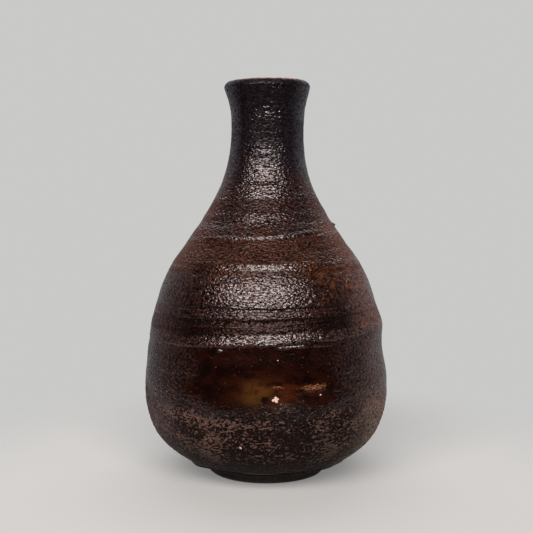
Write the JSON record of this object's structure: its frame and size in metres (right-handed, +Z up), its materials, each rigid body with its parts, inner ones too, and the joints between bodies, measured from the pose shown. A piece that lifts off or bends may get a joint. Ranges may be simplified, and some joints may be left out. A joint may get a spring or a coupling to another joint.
{
  "type": "sake bottle",
  "caption": "Hand-thrown stoneware sake bottle with a pear-shaped belly, narrow flared neck, turned foot ring and dark iron glaze inside and out.",
  "frame": {"origin": "centre of the foot ring's resting plane", "axes": "+Z up the bottle's axis, towards the mouth; -Y towards the viewer's side that carries the pale flecks; +X to the viewer's right"},
  "size_m": [0.0934, 0.0937, 0.15],
  "materials": {
    "foot_clay": "matt fired stoneware, darkened by the fire",
    "body_clay": "matt fired iron-bearing stoneware",
    "neck_clay": "matt fired iron-bearing stoneware",
    "slip": "fine matt fired slip",
    "iron_glaze": "gloss blue-black to red-brown above, dry and speckled near the foot",
    "liner_glaze": "gloss dark brown",
    "grit": "rough fused kiln grit",
    "feldspar": "dull pinkish-white melted stone"
  },
  "bodies": {
    "root": {"foot_ring": "foot_clay", "belly_section": "body_clay", "neck_section": "neck_clay", "luting_slip": "slip", "outer_glaze": "iron_glaze", "liner_glaze": "liner_glaze", "kiln_grit": "grit", "stone_flecks": "feldspar"}
  },
  "joints": []
}
